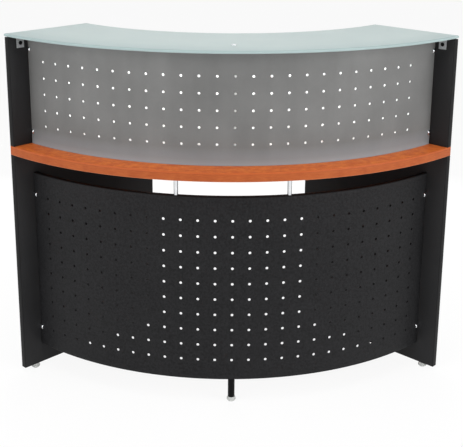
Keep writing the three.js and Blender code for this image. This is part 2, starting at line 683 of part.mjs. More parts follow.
// The lower screen's returns are bored for the hangers and the leg
function addLowerScreen() {
  const { bottom, top } = LOWER_SCREEN;
  const bores = ENDS.map(({ side }) =>
    boreDown(HANGER_SPIGOT.radius, top, HANGER_SPIGOT.length)
      .translate(0, -HANGER_AT, 0)
      .rotateZ(side * HANGER_ANGLE),
  );
  bores.push(boreUp(LEG_SPIGOT.radius, bottom, LEG_SPIGOT.length).translate(0, -LEG_AT, 0));
  const screen = perforatedScreen(returnedProfile(LOWER_SCREEN), LOWER_SCREEN, LOWER_HOLES, bores);
  piece(arc, 'lower_screen', screen, FINISHES.blackSheet);
}

// The upper screen is backed by an opal liner, which ends at folds clear of the studs
function addUpperScreen() {
  const profile = plainProfile(SCREEN_RADIUS, SHEET_THICKNESS, UPPER_SCREEN);
  piece(arc, 'upper_screen', perforatedScreen(profile, UPPER_SCREEN, UPPER_HOLES), FINISHES.silverSheet);

  const limit = END_ANGLE - (BOARD_FACE + STUD_LENGTH + LINER_CLEARANCE) / SCREEN_RADIUS;
  const folds = columnAngles(UPPER_HOLES).folds.filter((angle) => Math.abs(angle) < limit);
  const linerProfile = plainProfile(LINER_RADIUS, LINER_THICKNESS, UPPER_SCREEN);
  piece(arc, 'upper_screen_liner', facetedSheet(linerProfile, folds), FINISHES.opalSheet);
}

for (const end of ENDS) {
  addSidePanel(end);
  addCounterPost(end);
  addDowels(end);
  addStuds(end);
  addAngleBrackets(end);
  addGlassBracket(end);
  addPanelGlides(end);
  addHanger(end);
}
addWorktop();
addGlass();
addMiddlePost();
addCentreLeg();
addLowerScreen();
addUpperScreen();

export default desk;
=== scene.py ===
"""Looks for the curved reception desk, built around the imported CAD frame.

Metres, +Z up, the visitor on the -Y side. Places in plan are polar about the arc's axis, as in the CAD model.
"""
import json
import math

import bmesh
import bpy
from mathutils import Matrix, Vector


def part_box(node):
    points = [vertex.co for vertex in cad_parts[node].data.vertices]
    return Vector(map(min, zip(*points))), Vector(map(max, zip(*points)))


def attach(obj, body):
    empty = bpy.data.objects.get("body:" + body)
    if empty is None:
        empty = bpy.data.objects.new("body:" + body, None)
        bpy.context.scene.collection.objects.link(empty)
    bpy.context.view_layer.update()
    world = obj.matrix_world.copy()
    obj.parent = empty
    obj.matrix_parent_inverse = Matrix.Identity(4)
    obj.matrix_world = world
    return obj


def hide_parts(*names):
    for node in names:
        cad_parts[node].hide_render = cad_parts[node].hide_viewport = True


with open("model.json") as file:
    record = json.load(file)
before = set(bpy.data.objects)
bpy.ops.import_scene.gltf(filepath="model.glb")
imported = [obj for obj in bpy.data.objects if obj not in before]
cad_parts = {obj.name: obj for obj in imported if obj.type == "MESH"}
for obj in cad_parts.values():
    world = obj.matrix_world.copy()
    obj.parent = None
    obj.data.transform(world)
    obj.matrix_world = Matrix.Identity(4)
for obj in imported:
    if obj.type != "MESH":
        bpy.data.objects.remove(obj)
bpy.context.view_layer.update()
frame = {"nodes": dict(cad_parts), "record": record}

# Plan and heights that the CAD model has, in metres
FRONT_RADIUS = 0.966
SCREEN_RADIUS = 0.9
REAR_RADIUS = 0.38
PANEL_REAR_RADIUS = 0.4
POST_REAR_RADIUS = 0.88
GLASS_REAR_RADIUS = 0.653
MIDDLE_POST_AT = 0.868
END_ANGLE = math.radians(45)
GLASS_OVERHANG = 0.004
BOARD = 0.019
SHEET = 0.002
SEAT_GAP = 0.0003
BORE_GAP = 0.0003
COLUMN_PITCH = 0.0518
ROW_PITCH = 0.05
SHEET_EDGE_GAP = 0.003
HANGER_AT = 0.8925
LEG_AT = 0.879
SHEET_RADIUS = SCREEN_RADIUS - SHEET / 2
BOARD_FACE = BOARD + SEAT_GAP
ENDS = {"left": -1, "right": 1}


def heights(node):
    """The lowest and highest point of a CAD node."""
    low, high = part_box(node)
    return low.z, high.z


AXIS_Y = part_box("worktop_edge_band")[0].y + FRONT_RADIUS
WORKTOP = heights("worktop")
GLASS = heights("glass_counter")
LOWER_SCREEN = heights("lower_screen")
UPPER_SCREEN = heights("upper_screen")
PANEL = heights("left_side_panel")
POST = heights("left_counter_post")
FOOT = heights("centre_glide_foot")
STEM = heights("centre_glide_stem")


# Colour and node helpers


def srgb(red, green, blue):
    """A display colour, 0 to 255, as a linear one."""
    shares = [value / 255 for value in (red, green, blue)]
    return tuple(((v + 0.055) / 1.055) ** 2.4 if v > 0.04045 else v / 12.92 for v in shares) + (1,)


class Surface:
    """A material's nodes, with short ways to add what the finishes share."""

    def __init__(self, name, **constants):
        self.material = bpy.data.materials.new(name)
        self.material.use_nodes = True
        self.tree = self.material.node_tree
        self.shader = self.tree.nodes["Principled BSDF"]
        for key, value in constants.items():
            self.shader.inputs[key.replace("_", " ")].default_value = value
        self.place = self.add("ShaderNodeTexCoord").outputs["Object"]
        self.flat = self.add("ShaderNodeUVMap").outputs["UV"]

    def add(self, kind, inputs=(), **settings):
        node = self.tree.nodes.new(kind)
        for key, value in settings.items():
            setattr(node, key, value)
        for key, value in dict(inputs).items():
            if isinstance(value, bpy.types.NodeSocket):
                self.tree.links.new(value, node.inputs[key])
            else:
                node.inputs[key].default_value = value
        return node

    def stretch(self, source, scale):
        return self.add("ShaderNodeMapping", {"Vector": source, "Scale": scale}).outputs["Vector"]

    def noise(self, scale, detail=3.0, roughness=0.55, source=None, distortion=0.0):
        inputs = {
            "Vector": source or self.place,
            "Scale": scale,
            "Detail": detail,
            "Roughness": roughness,
            "Distortion": distortion,
        }
        return self.add("ShaderNodeTexNoise", inputs).outputs["Fac"]

    def span(self, low, high, value=None):
        """How far a value, or else the flat place's second number, lies between two others, from 0 to 1."""
        if value is None:
            value = self.add("ShaderNodeSeparateXYZ", {"Vector": self.flat}).outputs["Y"]
        inputs = {"Value": value, "From Min": low, "From Max": high}
        return self.add("ShaderNodeMapRange", inputs).outputs["Result"]

    def ramp(self, factor, stops):
        node = self.add("ShaderNodeValToRGB", {"Fac": factor})
        elements = node.color_ramp.elements
        while len(elements) < len(stops):
            elements.new(0.5)
        for element, (position, colour) in zip(elements, stops):
            element.position = position
            element.color = colour if isinstance(colour, tuple) else (colour, colour, colour, 1)
        return node.outputs["Color"]

    def mix(self, factor, first, second):
        node = self.add("ShaderNodeMix", data_type="RGBA")
        for socket, value in ((node.inputs[0], factor), (node.inputs[6], first), (node.inputs[7], second)):
            if isinstance(value, bpy.types.NodeSocket):
                self.tree.links.new(value, socket)
            else:
                socket.default_value = value
        return node.outputs[2]

    def bump(self, height, distance, strength):
        inputs = {"Height": height, "Distance": distance, "Strength": strength}
        return self.add("ShaderNodeBump", inputs).outputs["Normal"]

    def finish(self, colour, roughness, normal=None):
        for key, value in (("Base Color", colour), ("Roughness", roughness), ("Normal", normal)):
            if value is not None:
                self.tree.links.new(value, self.shader.inputs[key])
        return self.material


# Finishes

EDGE_STRIP = 0.001  # the thickness of a board's edge strip
FOLD_SHADE = 0.004  # the depth of the painted shade along the lower screen's top fold
SCREEN_FOOT_REFLECTION = 0.055  # the height of the painted reflected light along the upper screen's foot
# Lengths along a swept piece's section, which runs along its underside, up its front and back over its top
BAND_FACE = (0.0017, 0.0305)
GLASS_FRONT_EDGE = (0.308, 0.326)
# the glass top's front strip of painted shade, where the dark screen below would show through
GLASS_FRONT_SHADE = (0.321, 0.401)


def black_laminate():
    """Matt black laminated board: a fine pearl grain with faint cloudy wear, and a darker front strip."""
    s = Surface("black_laminate", Specular_IOR_Level=0.12)
    clouds = s.noise(5.0, 4.0)
    grain = s.noise(700.0, 2.0)
    colour = s.mix(
        0.45,
        s.ramp(clouds, [(0.3, srgb(32, 32, 33)), (0.7, srgb(39, 39, 40))]),
        s.ramp(grain, [(0.35, srgb(28, 28, 29)), (0.7, srgb(47, 47, 48))]),
    )
    ends = {0: s.stretch(s.place, (1.0, 1.0, 0.0)), 1: (0, AXIS_Y, 0)}
    radius = s.add("ShaderNodeVectorMath", ends, operation="DISTANCE").outputs["Value"]
    strip = s.span(FRONT_RADIUS - 1.2 * EDGE_STRIP, FRONT_RADIUS - 0.8 * EDGE_STRIP, radius)
    colour = s.mix(strip, colour, srgb(19, 19, 20))
    roughness = s.ramp(grain, [(0.3, 0.46), (0.75, 0.62)])
    return s.finish(colour, roughness, s.bump(grain, 0.00008, 0.5))


def cherry_laminate():
    """Cherry-coloured laminate: short flecks and soft mottling along the grain."""
    s = Surface("cherry_laminate", Specular_IOR_Level=0.2)
    along = s.stretch(s.place, (14.0, 70.0, 70.0))
    flecks = s.noise(4.2, 6.0, 0.62, along, 0.6)
    pores = s.noise(26.0, 3.0, 0.6, along)
    mottle = s.noise(42.0, 3.0, 0.6)
    colour = s.ramp(
        flecks,
        [
            (0.28, srgb(170, 74, 31)),
            (0.46, srgb(200, 97, 43)),
            (0.6, srgb(213, 110, 48)),
            (0.76, srgb(228, 131, 60)),
        ],
    )
    colour = s.mix(0.45, colour, s.ramp(mottle, [(0.35, srgb(181, 79, 36)), (0.65, srgb(232, 131, 56))]))
    colour = s.mix(s.ramp(pores, [(0.62, 0.0), (0.74, 0.4)]), colour, srgb(140, 62, 30))
    roughness = s.ramp(flecks, [(0.3, 0.5), (0.7, 0.38)])
    return s.finish(colour, roughness, s.bump(pores, 0.00006, 0.4))


def cherry_band():
    """Edge band: straight grain that follows the edge, browner than the top, its top paler, and a painted
    highlight along its foot.
    """
    s = Surface("cherry_band", Specular_IOR_Level=0.15)
    along = s.stretch(s.flat, (7.0, 190.0, 1.0))
    grain = s.noise(5.0, 5.0, 0.6, along, 0.4)
    mottle = s.noise(24.0, 3.0, 0.55)
    colour = s.ramp(
        grain,
        [(0.3, srgb(138, 63, 30)), (0.5, srgb(162, 80, 39)), (0.72, srgb(183, 99, 51))],
    )
    colour = s.mix(0.3, colour, s.ramp(mottle, [(0.35, srgb(150, 71, 35)), (0.65, srgb(181, 97, 49))]))
    top = s.ramp(grain, [(0.3, srgb(160, 74, 35)), (0.7, srgb(190, 98, 50))])
    up = s.span(*BAND_FACE)
    colour = s.mix(s.ramp(up, [(0.76, 0.0), (0.82, 0.85)]), colour, top)
    colour = s.mix(s.ramp(up, [(0.72, 0.0), (0.76, 0.35), (0.8, 0.0)]), colour, srgb(110, 48, 26))
    # painted highlight: a pale line along the band's lower arris
    colour = s.mix(s.ramp(up, [(0.02, 0.5), (0.08, 0.0)]), colour, srgb(205, 140, 110))
    roughness = s.ramp(grain, [(0.3, 0.46), (0.7, 0.36)])
    return s.finish(colour, roughness, s.bump(grain, 0.00006, 0.4))


def black_sheet():
    """Black powder coat on steel: orange peel, small lighter specks, a soft mottle, and painted shade along
    its top fold.
    """
    s = Surface("black_sheet", Specular_IOR_Level=0.14)
    peel = s.noise(420.0, 2.0, 0.5)
    specks = s.noise(1500.0, 1.0, 0.5)
    clouds = s.noise(3.5, 3.0)
    colour = s.ramp(clouds, [(0.3, srgb(17, 17, 18)), (0.72, srgb(23, 23, 24))])
    colour = s.mix(s.ramp(specks, [(0.56, 0.0), (0.72, 0.6)]), colour, srgb(58, 58, 60))
    mottle = s.noise(150.0, 3.0, 0.65)
    colour = s.mix(s.ramp(mottle, [(0.4, 0.0), (0.7, 0.45)]), colour, srgb(43, 43, 45))
    colour = s.mix(s.ramp(mottle, [(0.3, 0.45), (0.48, 0.0)]), colour, srgb(11, 11, 12))
    # painted shade: the top fold darkened as if in the worktop's shadow
    fold_shade = s.ramp(s.span(LOWER_SCREEN[1] - FOLD_SHADE, LOWER_SCREEN[1]), [(0.0, 0.0), (0.5, 1.0)])
    colour = s.mix(fold_shade, colour, srgb(5, 5, 6))
    roughness = s.ramp(peel, [(0.3, 0.5), (0.7, 0.64)])
    return s.finish(colour, roughness, s.bump(peel, 0.00012, 0.5))


def silver_sheet():
    """Silver-grey metallic paint on steel with a fine fleck, painted reflection in soft upright bands, and
    painted reflected light as a cooler, paler foot.
    """
    s = Surface("silver_sheet", Metallic=0.15, Specular_IOR_Level=0.2)
    clouds = s.noise(7.0, 4.0, 0.55)
    fleck = s.noise(1800.0, 1.0, 0.5)
    colour = s.mix(
        0.35,
        s.ramp(clouds, [(0.3, srgb(104, 104, 103)), (0.7, srgb(120, 120, 119))]),
        s.ramp(fleck, [(0.35, srgb(90, 90, 90)), (0.7, srgb(137, 137, 136))]),
    )
    # painted reflection: soft darker upright bands along the arc
    reflection_bands = s.noise(1.0, 2.0, 0.5, s.stretch(s.flat, (12.0, 1.0, 1.0)))
    colour = s.mix(s.ramp(reflection_bands, [(0.35, 0.0), (0.65, 0.3)]), colour, srgb(92, 92, 91))
    # painted reflected light: a cooler, paler strip along the sheet's foot
    up = s.span(UPPER_SCREEN[0], UPPER_SCREEN[0] + SCREEN_FOOT_REFLECTION)
    foot = s.ramp(up, [(0.0, 0.85), (0.35, 0.4), (1.0, 0.0)])
    colour = s.mix(foot, colour, srgb(152, 161, 167))
    roughness = s.ramp(clouds, [(0.3, 0.4), (0.7, 0.5)])
    return s.finish(colour, roughness, s.bump(fleck, 0.00004, 0.35))


def chrome():
    """Polished chrome with faint polishing marks."""
    s = Surface("chrome", Metallic=1.0)
    marks = s.noise(60.0, 4.0, 0.6)
    colour = s.ramp(marks, [(0.3, srgb(222, 224, 227)), (0.7, srgb(238, 239, 241))])
    roughness = s.ramp(marks, [(0.3, 0.08), (0.7, 0.17)])
    return s.finish(colour, roughness)


def zinc():
    """Zinc plating: pale grey, softly spangled."""
    s = Surface("zinc", Metallic=1.0)
    spangle = s.noise(220.0, 3.0, 0.6)
    colour = s.ramp(spangle, [(0.3, srgb(176, 179, 182)), (0.7, srgb(208, 210, 212))])
    roughness = s.ramp(spangle, [(0.3, 0.28), (0.7, 0.42)])
    return s.finish(colour, roughness, s.bump(spangle, 0.00003, 0.3))


def black_steel():
    """Black satin paint on steel."""
    s = Surface("black_steel", Specular_IOR_Level=0.1)
    grain = s.noise(500.0, 2.0)
    colour = s.ramp(grain, [(0.3, srgb(6, 6, 7)), (0.7, srgb(12, 12, 13))])
    roughness = s.ramp(grain, [(0.3, 0.34), (0.7, 0.46)])
    return s.finish(colour, roughness, s.bump(grain, 0.00005, 0.4))


def frosted_glass():
    """Frosted glass: pale green-grey, with a fine etched bite, a deeper green polished front edge, and
    painted shade along the front strip of its top.
    """
    s = Surface("frosted_glass", Transmission_Weight=0.3, IOR=1.5, Specular_IOR_Level=0.2)
    bite = s.noise(900.0, 2.0, 0.5)
    clouds = s.noise(4.0, 3.0)
    colour = s.mix(
        0.3,
        s.ramp(clouds, [(0.3, srgb(194, 208, 207)), (0.7, srgb(205, 217, 215))]),
        s.ramp(bite, [(0.3, srgb(190, 205, 204)), (0.7, srgb(212, 223, 221))]),
    )
    # painted shade: the front overhang darkened as if the dark screen below showed through
    strip = s.ramp(s.span(*GLASS_FRONT_SHADE), [(0.0, 0.75), (0.3, 0.4), (0.8, 0.22), (1.0, 0.0)])
    colour = s.mix(strip, colour, srgb(184, 201, 201))
    across = s.span(*GLASS_FRONT_EDGE)
    edge = s.ramp(across, [(0.2, 0.0), (0.3, 0.9), (0.85, 0.9), (0.95, 0.0)])
    colour = s.mix(edge, colour, srgb(174, 193, 193))
    rim = s.ramp(across, [(0.7, 0.0), (0.8, 0.5), (0.9, 0.5), (1.0, 0.0)])
    colour = s.mix(rim, colour, srgb(158, 178, 178))
    roughness = s.ramp(bite, [(0.3, 0.42), (0.7, 0.56)])
    return s.finish(colour, roughness, s.bump(bite, 0.00004, 0.3))


def clear_rubber():
    """Soft translucent rubber."""
    s = Surface("clear_rubber", Transmission_Weight=0.4, IOR=1.42)
    clouds = s.noise(150.0, 2.0)
    colour = s.ramp(clouds, [(0.3, srgb(208, 213, 212)), (0.7, srgb(228, 232, 230))])
    return s.finish(colour, s.ramp(clouds, [(0.3, 0.5), (0.7, 0.65)]))


def grey_plastic():
    """Translucent light grey moulded plastic, a little scuffed."""
    s = Surface("grey_plastic", Transmission_Weight=0.3, IOR=1.46)
    scuffs = s.noise(130.0, 4.0, 0.6)
    colour = s.ramp(scuffs, [(0.3, srgb(188, 190, 188)), (0.7, srgb(214, 216, 213))])
    roughness = s.ramp(scuffs, [(0.3, 0.32), (0.7, 0.5)])
    return s.finish(colour, roughness, s.bump(scuffs, 0.00004, 0.3))


def opal_sheet():
    """White opal sheet: milky, with faint clouds."""
    s = Surface("opal_sheet", Transmission_Weight=0.65, IOR=1.3)
    clouds = s.noise(18.0, 3.0)
    colour = s.ramp(clouds, [(0.3, srgb(250, 251, 250)), (0.7, srgb(255, 255, 255))])
    return s.finish(colour, s.ramp(clouds, [(0.3, 0.8), (0.7, 0.95)]))


def beech():
    """Plain beech with short dark flecks along the dowel."""
    s = Surface("beech", Specular_IOR_Level=0.3)
    along = s.stretch(s.place, (700.0, 700.0, 60.0))
    grain = s.noise(1.0, 4.0, 0.6, along)
    colour = s.ramp(grain, [(0.3, srgb(184, 147, 98)), (0.7, srgb(214, 180, 130))])
    return s.finish(colour, s.ramp(grain, [(0.3, 0.6), (0.7, 0.75)]), s.bump(grain, 0.00005, 0.4))


FINISHES = {
    make.__name__: make()
    for make in (
        black_laminate, cherry_laminate, cherry_band, black_sheet, silver_sheet, chrome,
        zinc, black_steel, frosted_glass, clear_rubber, grey_plastic, opal_sheet, beech,
    )
}
SLOT_OF = {row["node"]: row["material_slot"] for row in frame["record"]["subparts"]}


# Mesh helpers


def to_mesh(name, points, faces, uvs=None):
    """A mesh from points and faces, its normals facing out, with each point's flat place as its UV."""
    mesh = bpy.data.meshes.new(name)
    mesh.from_pydata([tuple(p) for p in points], [], faces)
    if uvs:
        layer = mesh.uv_layers.new(name="UVMap")
        for loop in mesh.loops:
            layer.data[loop.index].uv = uvs[loop.vertex_index]
    return outward(mesh)


def outward(mesh):
    """The mesh with its normals facing out."""
    facing = bmesh.new()
    facing.from_mesh(mesh)
    bmesh.ops.recalc_face_normals(facing, faces=facing.faces)
    facing.to_mesh(mesh)
    facing.free()
    return mesh


def joined(meshes):
    """One mesh of several."""
    together = bmesh.new()
    for mesh in meshes:
        together.from_mesh(mesh)
    result = bpy.data.meshes.new("joined")
    together.to_mesh(result)
    together.free()
    return result


CUT_PAST = 0.01  # how far a cutter runs past the face it cuts
MERGE_REACH = 1e-6  # points nearer than this become one
ON_AXIS = 1e-9


def carve(mesh, cutters):
    """The mesh with closed cutting meshes taken out of it."""
    base = bpy.data.objects.new("base", mesh)
    tool = bpy.data.objects.new("tool", joined(cutters))
    for obj in (base, tool):
        bpy.context.scene.collection.objects.link(obj)
    step = base.modifiers.new("carve", "BOOLEAN")
    step.operation = "DIFFERENCE"
    step.solver = "EXACT"
    step.object = tool
    depsgraph = bpy.context.evaluated_depsgraph_get()
    result = bpy.data.meshes.new_from_object(base.evaluated_get(depsgraph))
    for obj in (base, tool):
        bpy.data.objects.remove(obj)
    merged = bmesh.new()
    merged.from_mesh(result)
    bmesh.ops.remove_doubles(merged, verts=merged.verts, dist=MERGE_REACH)
    merged.to_mesh(result)
    merged.free()
    return result


def moved(mesh, matrix):
    mesh.transform(matrix)
    return mesh


def ring(radius, sides):
    """Points round a circle."""
    angles = (i * math.tau / sides for i in range(sides))
    return [(radius * math.cos(a), radius * math.sin(a)) for a in angles]


def rod(radius, low, high, sides=32):
    """A closed cylinder along Z, for cutting bores."""
    points = [(x, y, z) for z in (low, high) for x, y in ring(radius, sides)]
    faces = [tuple(range(sides))[::-1], tuple(range(sides, 2 * sides))]
    faces += [(i, (i + 1) % sides, sides + (i + 1) % sides, sides + i) for i in range(sides)]
    return to_mesh("rod", points, faces)


def block(low, high):
    """A closed box between two corners, for cutting slots."""
    points = [(x, y, z) for x in (low[0], high[0]) for y in (low[1], high[1]) for z in (low[2], high[2])]
    faces = [(0, 1, 3, 2), (4, 6, 7, 5), (0, 4, 5, 1), (2, 3, 7, 6), (0, 2, 6, 4), (1, 5, 7, 3)]
    return to_mesh("block", points, faces)


def rounded(points, closed, steps=5):
    """An outline whose points (x, y, radius) become arcs of that radius."""
    result = []
    count = len(points)
    for i, point in enumerate(points):
        corner = Vector(point[:2])
        radius = point[2] if len(point) > 2 else 0
        if radius == 0 or (not closed and i in (0, count - 1)):
            result.append(tuple(corner))
            continue
        back = (Vector(points[i - 1][:2]) - corner).normalized()
        ahead = (Vector(points[(i + 1) % count][:2]) - corner).normalized()
        half = back.angle(ahead) / 2
        centre = corner + (back + ahead).normalized() * (radius / math.sin(half))
        start = (corner + back * (radius / math.tan(half)) - centre).normalized()
        end = (corner + ahead * (radius / math.tan(half)) - centre).normalized()
        for k in range(steps + 1):
            result.append(tuple(centre + radius * start.slerp(end, k / steps)))
    return result


def lathe(outline, sides=48):
    """A turned mesh about Z. Its outline of (radius, height) runs from axis to axis, or closes on itself."""
    closed = all(r > ON_AXIS for r, _ in outline)
    points, rows = [], []
    for r, z in outline:
        if r <= ON_AXIS:
            rows.append([len(points)] * sides)
            points.append((0, 0, z))
        else:
            rows.append(list(range(len(points), len(points) + sides)))
            points += [(x, y, z) for x, y in ring(r, sides)]
    faces = []
    for low, high in zip(rows, rows[1:] + rows[:1] if closed else rows[1:]):
        for i in range(sides):
            k = (i + 1) % sides
            face = list(dict.fromkeys((low[i], low[k], high[k], high[i])))
            if len(face) > 2:
                faces.append(face)
    return to_mesh("turned", points, faces)


def polar(radius, angle, z):
    """A place from its radius and angle about the arc's axis."""
    return (radius * math.sin(angle), AXIS_Y - radius * math.cos(angle), z)


def swept(outline, end_outline, half_angle, end_inset, steps=120):
    """A ring sector with a section of (radius, height) points, drawn in to end_outline at its two ends."""
    middle = sum(r for r, _ in outline) / len(outline)
    inner = half_angle - end_inset / middle
    stations = [(-half_angle, end_outline)]
    stations += [(-inner + 2 * inner * i / steps, outline) for i in range(steps + 1)]
    stations += [(half_angle, end_outline)]
    size = len(outline)
    lengths = [0.0]
    for (r0, z0), (r1, z1) in zip(outline, outline[1:]):
        lengths.append(lengths[-1] + math.hypot(r1 - r0, z1 - z0))
    points, uvs, faces = [], [], []
    for angle, section in stations:
        points += [polar(r, angle, z) for r, z in section]
        uvs += [(angle * FRONT_RADIUS, length) for length in lengths]
    for k in range(len(stations) - 1):
        for i in range(size):
            j = (i + 1) % size
            faces.append((k * size + i, k * size + j, (k + 1) * size + j, (k + 1) * size + i))
    faces.append(tuple(range(size)))
    faces.append(tuple(range(len(points) - size, len(points))))
    return to_mesh("swept", points, faces, uvs)


def section(r0, r1, z0, z1, fillet, inset=0.0):
    """A rounded rectangle of (radius, height) points."""
    corners = [
        (r0 + inset, z0 + inset, fillet),
        (r1 - inset, z0 + inset, fillet),
        (r1 - inset, z1 - inset, fillet),
        (r0 + inset, z1 - inset, fillet),
    ]
    return rounded(corners, True)


def sector(r0, r1, span, half_angle, ease, end_ease, inset):
    """A ring sector with eased edges, drawn in by an inset at its two ends."""
    outline = section(r0, r1, *span, ease)
    return swept(outline, section(r0, r1, *span, end_ease, inset), half_angle, inset)


def in_end(side, x=0.0, radius=0.0, z=0.0):
    """The placing matrix of an end's own frame: X across the board towards the desk, -Y outwards, Z up."""
    mirror = Matrix.Diagonal((-side, 1, 1, 1))
    turn = Matrix.Rotation(side * END_ANGLE, 4, "Z")
    return Matrix.Translation((0, AXIS_Y, 0)) @ turn @ mirror @ Matrix.Translation((x, -radius, z))


def on_arc(angle, radius):
    """The placing matrix of a piece that stands on the arc."""
    turn = Matrix.Rotation(angle, 4, "Z")
    return Matrix.Translation((0, AXIS_Y, 0)) @ turn @ Matrix.Translation((0, -radius, 0))


INWARDS = Matrix.Rotation(math.pi / 2, 4, "Y")  # a turned piece's +Z to an end frame's +X
SHARP = math.radians(32)  # an edge that turns by more than this is shaded sharp
BEVELLED = math.radians(50)  # an edge that turns by more than this takes a bevel


def piece(name, mesh, nodes, body="desk", bevel=None):
    """A finished piece that stands for CAD nodes and takes their finish."""
    mesh.name = name
    obj = bpy.data.objects.new(name, mesh)
    bpy.context.scene.collection.objects.link(obj)
    slot = SLOT_OF[nodes[0]]
    mesh.materials.clear()
    mesh.materials.append(FINISHES[slot])
    outward(mesh).shade_smooth()
    mesh.set_sharp_from_angle(angle=SHARP)
    if bevel:
        edge = obj.modifiers.new("edge", "BEVEL")
        edge.width = bevel
        edge.segments = 2
        edge.limit_method = "ANGLE"
        edge.angle_limit = BEVELLED
        edge.harden_normals = True
    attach(obj, body)
    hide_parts(*nodes)
    return obj


# Screens


def grid_lines(first, last, centres, pitch, parts):
    """Lines across a sheet, with each hole's cell in so many parts, and the line each cell starts at."""
    lines, starts = [first], []

    def run_to(value, count):
        start = lines[-1]
        lines.extend(start + (value - start) * (i + 1) / count for i in range(count))

    def steps(value):
        return max(1, round((value - lines[-1]) / pitch * parts))

    for centre in centres:
        edge = centre - pitch / 2
        if edge - lines[-1] > MERGE_REACH:
            run_to(edge, steps(edge))
        starts.append(len(lines) - 1)
        run_to(centre + pitch / 2, parts)
    run_to(last, steps(last))
    return lines, starts


BEND = 0.003  # outer radius of a folded edge
BEND_STEPS = 5
BEND_LENGTH = BEND * math.pi / 2


def folded(bottom, top, v, depth):
    """A place on a sheet's section, at a depth below its face.

    Past BEND from an edge, the section runs back along a return.
    """
    over = max(v - (top - BEND), bottom + BEND - v, 0.0)
    edge, out = (top, 1) if v > (top + bottom) / 2 else (bottom, -1)
    if over == 0:
        return SCREEN_RADIUS - depth, v
    turn = min(over / BEND, math.pi / 2)
    radius = SCREEN_RADIUS - BEND + (BEND - depth) * math.cos(turn) - max(over - BEND_LENGTH, 0.0)
    return radius, edge + out * ((BEND - depth) * math.sin(turn) - BEND)


def return_lines(edge, out, length):
    """Lines across a folded edge and its return, outwards from the edge."""
    start = edge - out * BEND
    bend = [start + out * BEND_LENGTH * (i + 1) / BEND_STEPS for i in range(BEND_STEPS)]
    return bend + [start + out * (BEND_LENGTH + length - BEND)]


def perforated(bottom, top, columns, rows, hole, returns=None, chamfer=0.0003, parts=4):
    """A curved sheet with round holes at (arc length, height) places, its rims and holes slightly broken."""
    half = (END_ANGLE - (BOARD + SHEET_EDGE_GAP) / SCREEN_RADIUS) * SCREEN_RADIUS
    us, u_starts = grid_lines(-half + chamfer, half - chamfer, columns, COLUMN_PITCH, parts)
    if returns:
        vs, v_starts = grid_lines(bottom + BEND, top - BEND, rows, ROW_PITCH, parts)
        below, above = return_lines(bottom, -1, returns[0]), return_lines(top, 1, returns[1])
        below[-1] += chamfer
        above[-1] -= chamfer
        vs = below[::-1] + vs + above
        v_starts = [start + len(below) for start in v_starts]
    else:
        vs, v_starts = grid_lines(bottom + chamfer, top - chamfer, rows, ROW_PITCH, parts)
    depths = (0.0, chamfer, SHEET - chamfer, SHEET)
    points, uvs, faces = [], [], []

    def point(u, v, depth):
        radius, z = folded(bottom, top, v, depth) if returns else (SCREEN_RADIUS - depth, v)
        points.append(polar(radius, u / SCREEN_RADIUS, z))
        uvs.append((u, v))
        return len(points) - 1

    def close_between(loops):
        size = len(loops[0])
        for near, far in zip(loops, loops[1:]):
            faces.extend((near[k], near[(k + 1) % size], far[(k + 1) % size], far[k]) for k in range(size))

    faces_of = [[[point(u, v, depths[layer]) for v in vs] for u in us] for layer in (0, 3)]
    sides = 4 * parts
    cells = range(parts)
    pierced = {(a + i, b + j) for a in u_starts for b in v_starts for i in cells for j in cells}
    for layer in faces_of:
        for i in range(len(us) - 1):
            for j in range(len(vs) - 1):
                if (i, j) not in pierced:
                    faces.append((layer[i][j], layer[i + 1][j], layer[i + 1][j + 1], layer[i][j + 1]))
    for a, column in zip(u_starts, columns):
        for b, row in zip(v_starts, rows):
            border = [(a + parts, b + parts // 2 + k) for k in range(parts // 2)]
            border += [(a + parts - k, b + parts) for k in range(parts)]
            border += [(a, b + parts - k) for k in range(parts)]
            border += [(a + k, b) for k in range(parts)]
            border += [(a + parts, b + k) for k in range(parts // 2)]
            loops = [[faces_of[0][i][j] for i, j in border]]
            for depth, radius in zip(depths, (hole + chamfer, hole, hole, hole + chamfer)):
                loops.append([point(column + x, row + y, depth) for x, y in ring(radius, sides)])
            loops.append([faces_of[1][i][j] for i, j in border])
            close_between(loops)
    last_u, last_v = len(us) - 1, len(vs) - 1
    border = [(i, 0) for i in range(last_u)] + [(last_u, j) for j in range(last_v)]
    border += [(last_u - i, last_v) for i in range(last_u)] + [(0, last_v - j) for j in range(last_v)]

    def outwards(index, last):
        return -chamfer if index == 0 else chamfer if index == last else 0.0

    loops = [[faces_of[0][i][j] for i, j in border]]
    for depth in depths[1:3]:
        rim = [(us[i] + outwards(i, last_u), vs[j] + outwards(j, last_v)) for i, j in border]
        loops.append([point(u, v, depth) for u, v in rim])
    loops.append([faces_of[1][i][j] for i, j in border])
    close_between(loops)
    return to_mesh("screen", points, faces, uvs)


def spaced(first, pitch, count):
    return [first + pitch * i for i in range(count)]


LOWER_FIRST_ROW, UPPER_FIRST_ROW = 0.066, 0.064  # above the sheets' feet
LOWER_COLUMNS = spaced(-12 * COLUMN_PITCH, COLUMN_PITCH, 25)
LOWER_ROWS = spaced(LOWER_SCREEN[0] + LOWER_FIRST_ROW, ROW_PITCH, 10)
LOWER_HOLE = 0.0042
LOWER_RETURNS = (0.036, 0.014)  # the bottom one's depth and the top one's
UPPER_SHIFT = 0.0215  # of the upper grid, to the left
UPPER_COLUMNS = spaced(-11.5 * COLUMN_PITCH - UPPER_SHIFT, COLUMN_PITCH, 24)
UPPER_ROWS = spaced(UPPER_SCREEN[0] + UPPER_FIRST_ROW, ROW_PITCH, 5)
UPPER_HOLE = 0.0037
HANGER_ARC = 0.16925  # from the middle, along the screen
HANGER_ANGLE = HANGER_ARC / SCREEN_RADIUS
# Spigots and shanks are given by radius and length
HANGER_SPIGOT = (0.003, 0.008)
LEG_SPIGOT = (0.004, 0.008)


